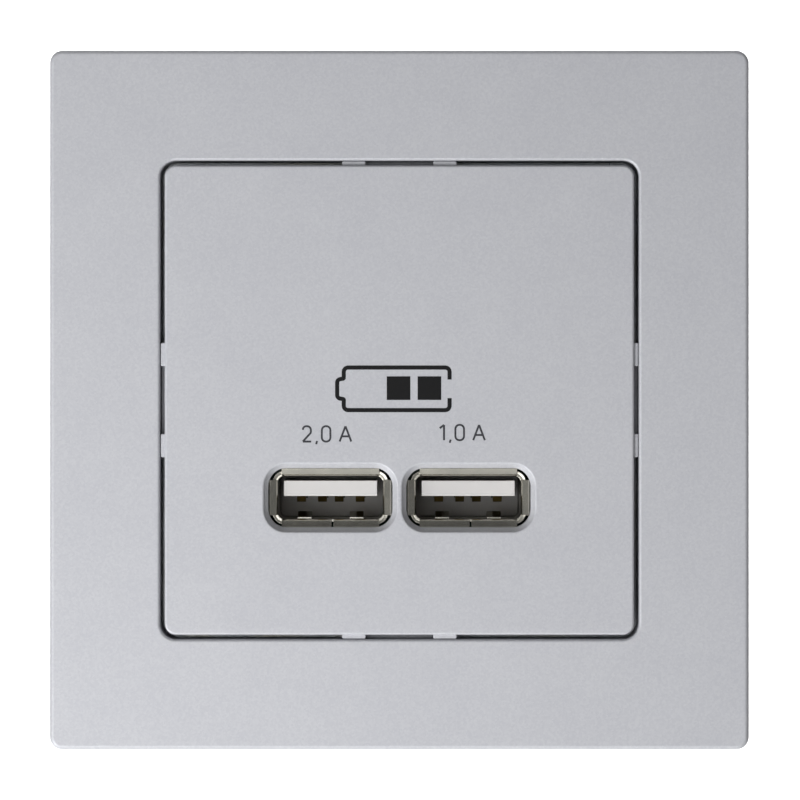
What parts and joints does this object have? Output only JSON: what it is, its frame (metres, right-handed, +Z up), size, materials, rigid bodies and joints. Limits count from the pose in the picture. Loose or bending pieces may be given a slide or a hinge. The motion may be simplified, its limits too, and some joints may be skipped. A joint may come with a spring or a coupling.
{
  "type": "flush-mounted usb wall charger",
  "caption": "Flush wall charging socket with two USB type A ports in a square centre plate and cover frame, with strap, spreading claws and mains module.",
  "frame": {"origin": "midway between the two wall box screws, on the wall surface (rear face of the strap and rear rim of the frame)", "axes": "+Z up, +X to the right as seen from the room, +Y into the wall"},
  "size_m": [0.083, 0.0422, 0.083],
  "materials": {
    "silver_paint": "satin",
    "zinc_steel": "satin",
    "screw_steel": "polished",
    "module_plastic": "matte",
    "shell_steel": "polished",
    "white_plastic": "satin",
    "gold_contact": "polished",
    "brass": "satin",
    "circuit_board": "satin",
    "ferrite": "matte",
    "coil_former": "matte",
    "enamelled_copper": "gloss",
    "polyester_tape": "gloss",
    "capacitor_can": "satin",
    "capacitor_sleeve": "satin",
    "film_box": "satin",
    "epoxy_blue": "satin",
    "epoxy_black": "matte",
    "tinned_pin": "polished"
  },
  "bodies": {
    "module": {"support_strap": "zinc_steel", "front_cover": "module_plastic", "rear_housing": "module_plastic", "cover_screws": "screw_steel", "usb_shell_left": "shell_steel", "usb_shell_right": "shell_steel", "usb_insulator_left": "white_plastic", "usb_insulator_right": "white_plastic", "usb_contacts_left": "gold_contact", "usb_contacts_right": "gold_contact", "output_board": "circuit_board", "output_capacitors": "capacitor_can", "output_inductor": "epoxy_black", "port_controller": "epoxy_black", "rectifier_diode": "epoxy_black", "link_header": "coil_former", "link_pins": "tinned_pin", "mains_board": "circuit_board", "transformer_bobbin": "coil_former", "transformer_winding": "enamelled_copper", "transformer_tape": "polyester_tape", "core_front": "ferrite", "core_rear": "ferrite", "bulk_capacitors": "capacitor_sleeve", "interference_capacitor": "film_box", "filter_choke": "ferrite", "mains_fuse": "epoxy_black", "surge_varistor": "epoxy_blue", "safety_capacitor": "epoxy_blue", "optocoupler": "white_plastic", "bridge_rectifier": "epoxy_black", "power_controller": "epoxy_black", "terminal_bar_line": "brass", "terminal_bar_neutral": "brass"},
    "cover_frame": {"cover_frame": "silver_paint"},
    "centre_plate": {"centre_plate": "silver_paint"},
    "claw_screw_left": {"claw_screw_left": "screw_steel", "retaining_ring_left": "zinc_steel"},
    "claw_screw_right": {"claw_screw_right": "screw_steel", "retaining_ring_right": "zinc_steel"},
    "claw_nut_left": {"claw_nut_left": "brass"},
    "claw_nut_right": {"claw_nut_right": "brass"},
    "claw_left": {"claw_left": "zinc_steel"},
    "claw_right": {"claw_right": "zinc_steel"},
    "clamp_line": {"clamp_plate_line": "zinc_steel"},
    "clamp_neutral": {"clamp_plate_neutral": "zinc_steel"},
    "terminal_screw_line": {"terminal_screw_line": "screw_steel"},
    "terminal_screw_neutral": {"terminal_screw_neutral": "screw_steel"}
  },
  "joints": [
    {"name": "cover_frame_pull", "type": "slide", "parent": "module", "child": "cover_frame", "axis": [0, -1, 0], "range_m": [0, 0.015]},
    {"name": "centre_plate_pull", "type": "slide", "parent": "module", "child": "centre_plate", "axis": [0, -1, 0], "range_m": [0, 0.012]},
    {"name": "claw_screw_left_turn", "type": "hinge", "parent": "module", "child": "claw_screw_left", "pos_m": [-0.0244, 0, 0.006], "axis": [0, 1, 0], "range_deg": [0, 3085]},
    {"name": "claw_nut_left_slide", "type": "slide", "parent": "module", "child": "claw_nut_left", "axis": [0, -1, 0], "range_m": [0, 0.006]},
    {"name": "claw_left_swing", "type": "hinge", "parent": "claw_nut_left", "child": "claw_left", "pos_m": [-0.0244, 0.02, 0.006], "axis": [0, 0, -1], "range_deg": [0, 20]},
    {"name": "claw_screw_right_turn", "type": "hinge", "parent": "module", "child": "claw_screw_right", "pos_m": [0.0244, 0, -0.006], "axis": [0, 1, 0], "range_deg": [0, 3085]},
    {"name": "claw_nut_right_slide", "type": "slide", "parent": "module", "child": "claw_nut_right", "axis": [0, -1, 0], "range_m": [0, 0.006]},
    {"name": "claw_right_swing", "type": "hinge", "parent": "claw_nut_right", "child": "claw_right", "pos_m": [0.0244, 0.02, -0.006], "axis": [0, 0, 1], "range_deg": [0, 20]},
    {"name": "clamp_line_slide", "type": "slide", "parent": "module", "child": "clamp_line", "axis": [0, 0, 1], "range_m": [0, 0.003]},
    {"name": "terminal_screw_line_turn", "type": "hinge", "parent": "clamp_line", "child": "terminal_screw_line", "pos_m": [-0.0065, 0.0245, -0.02], "axis": [0, 0, 1], "range_deg": [0, 2160]},
    {"name": "clamp_neutral_slide", "type": "slide", "parent": "module", "child": "clamp_neutral", "axis": [0, 0, 1], "range_m": [0, 0.003]},
    {"name": "terminal_screw_neutral_turn", "type": "hinge", "parent": "clamp_neutral", "child": "terminal_screw_neutral", "pos_m": [0.0065, 0.0245, -0.02], "axis": [0, 0, 1], "range_deg": [0, 2160]}
  ],
  "couplings": [
    {"joint": "claw_screw_left_turn", "follows": "claw_nut_left_slide", "rad_per_m": 8973.9},
    {"joint": "claw_left_swing", "follows": "claw_nut_left_slide", "rad_per_m": 58.177},
    {"joint": "claw_screw_right_turn", "follows": "claw_nut_right_slide", "rad_per_m": 8973.9},
    {"joint": "claw_right_swing", "follows": "claw_nut_right_slide", "rad_per_m": 58.177},
    {"joint": "terminal_screw_line_turn", "follows": "clamp_line_slide", "rad_per_m": 12566},
    {"joint": "terminal_screw_neutral_turn", "follows": "clamp_neutral_slide", "rad_per_m": 12566}
  ]
}
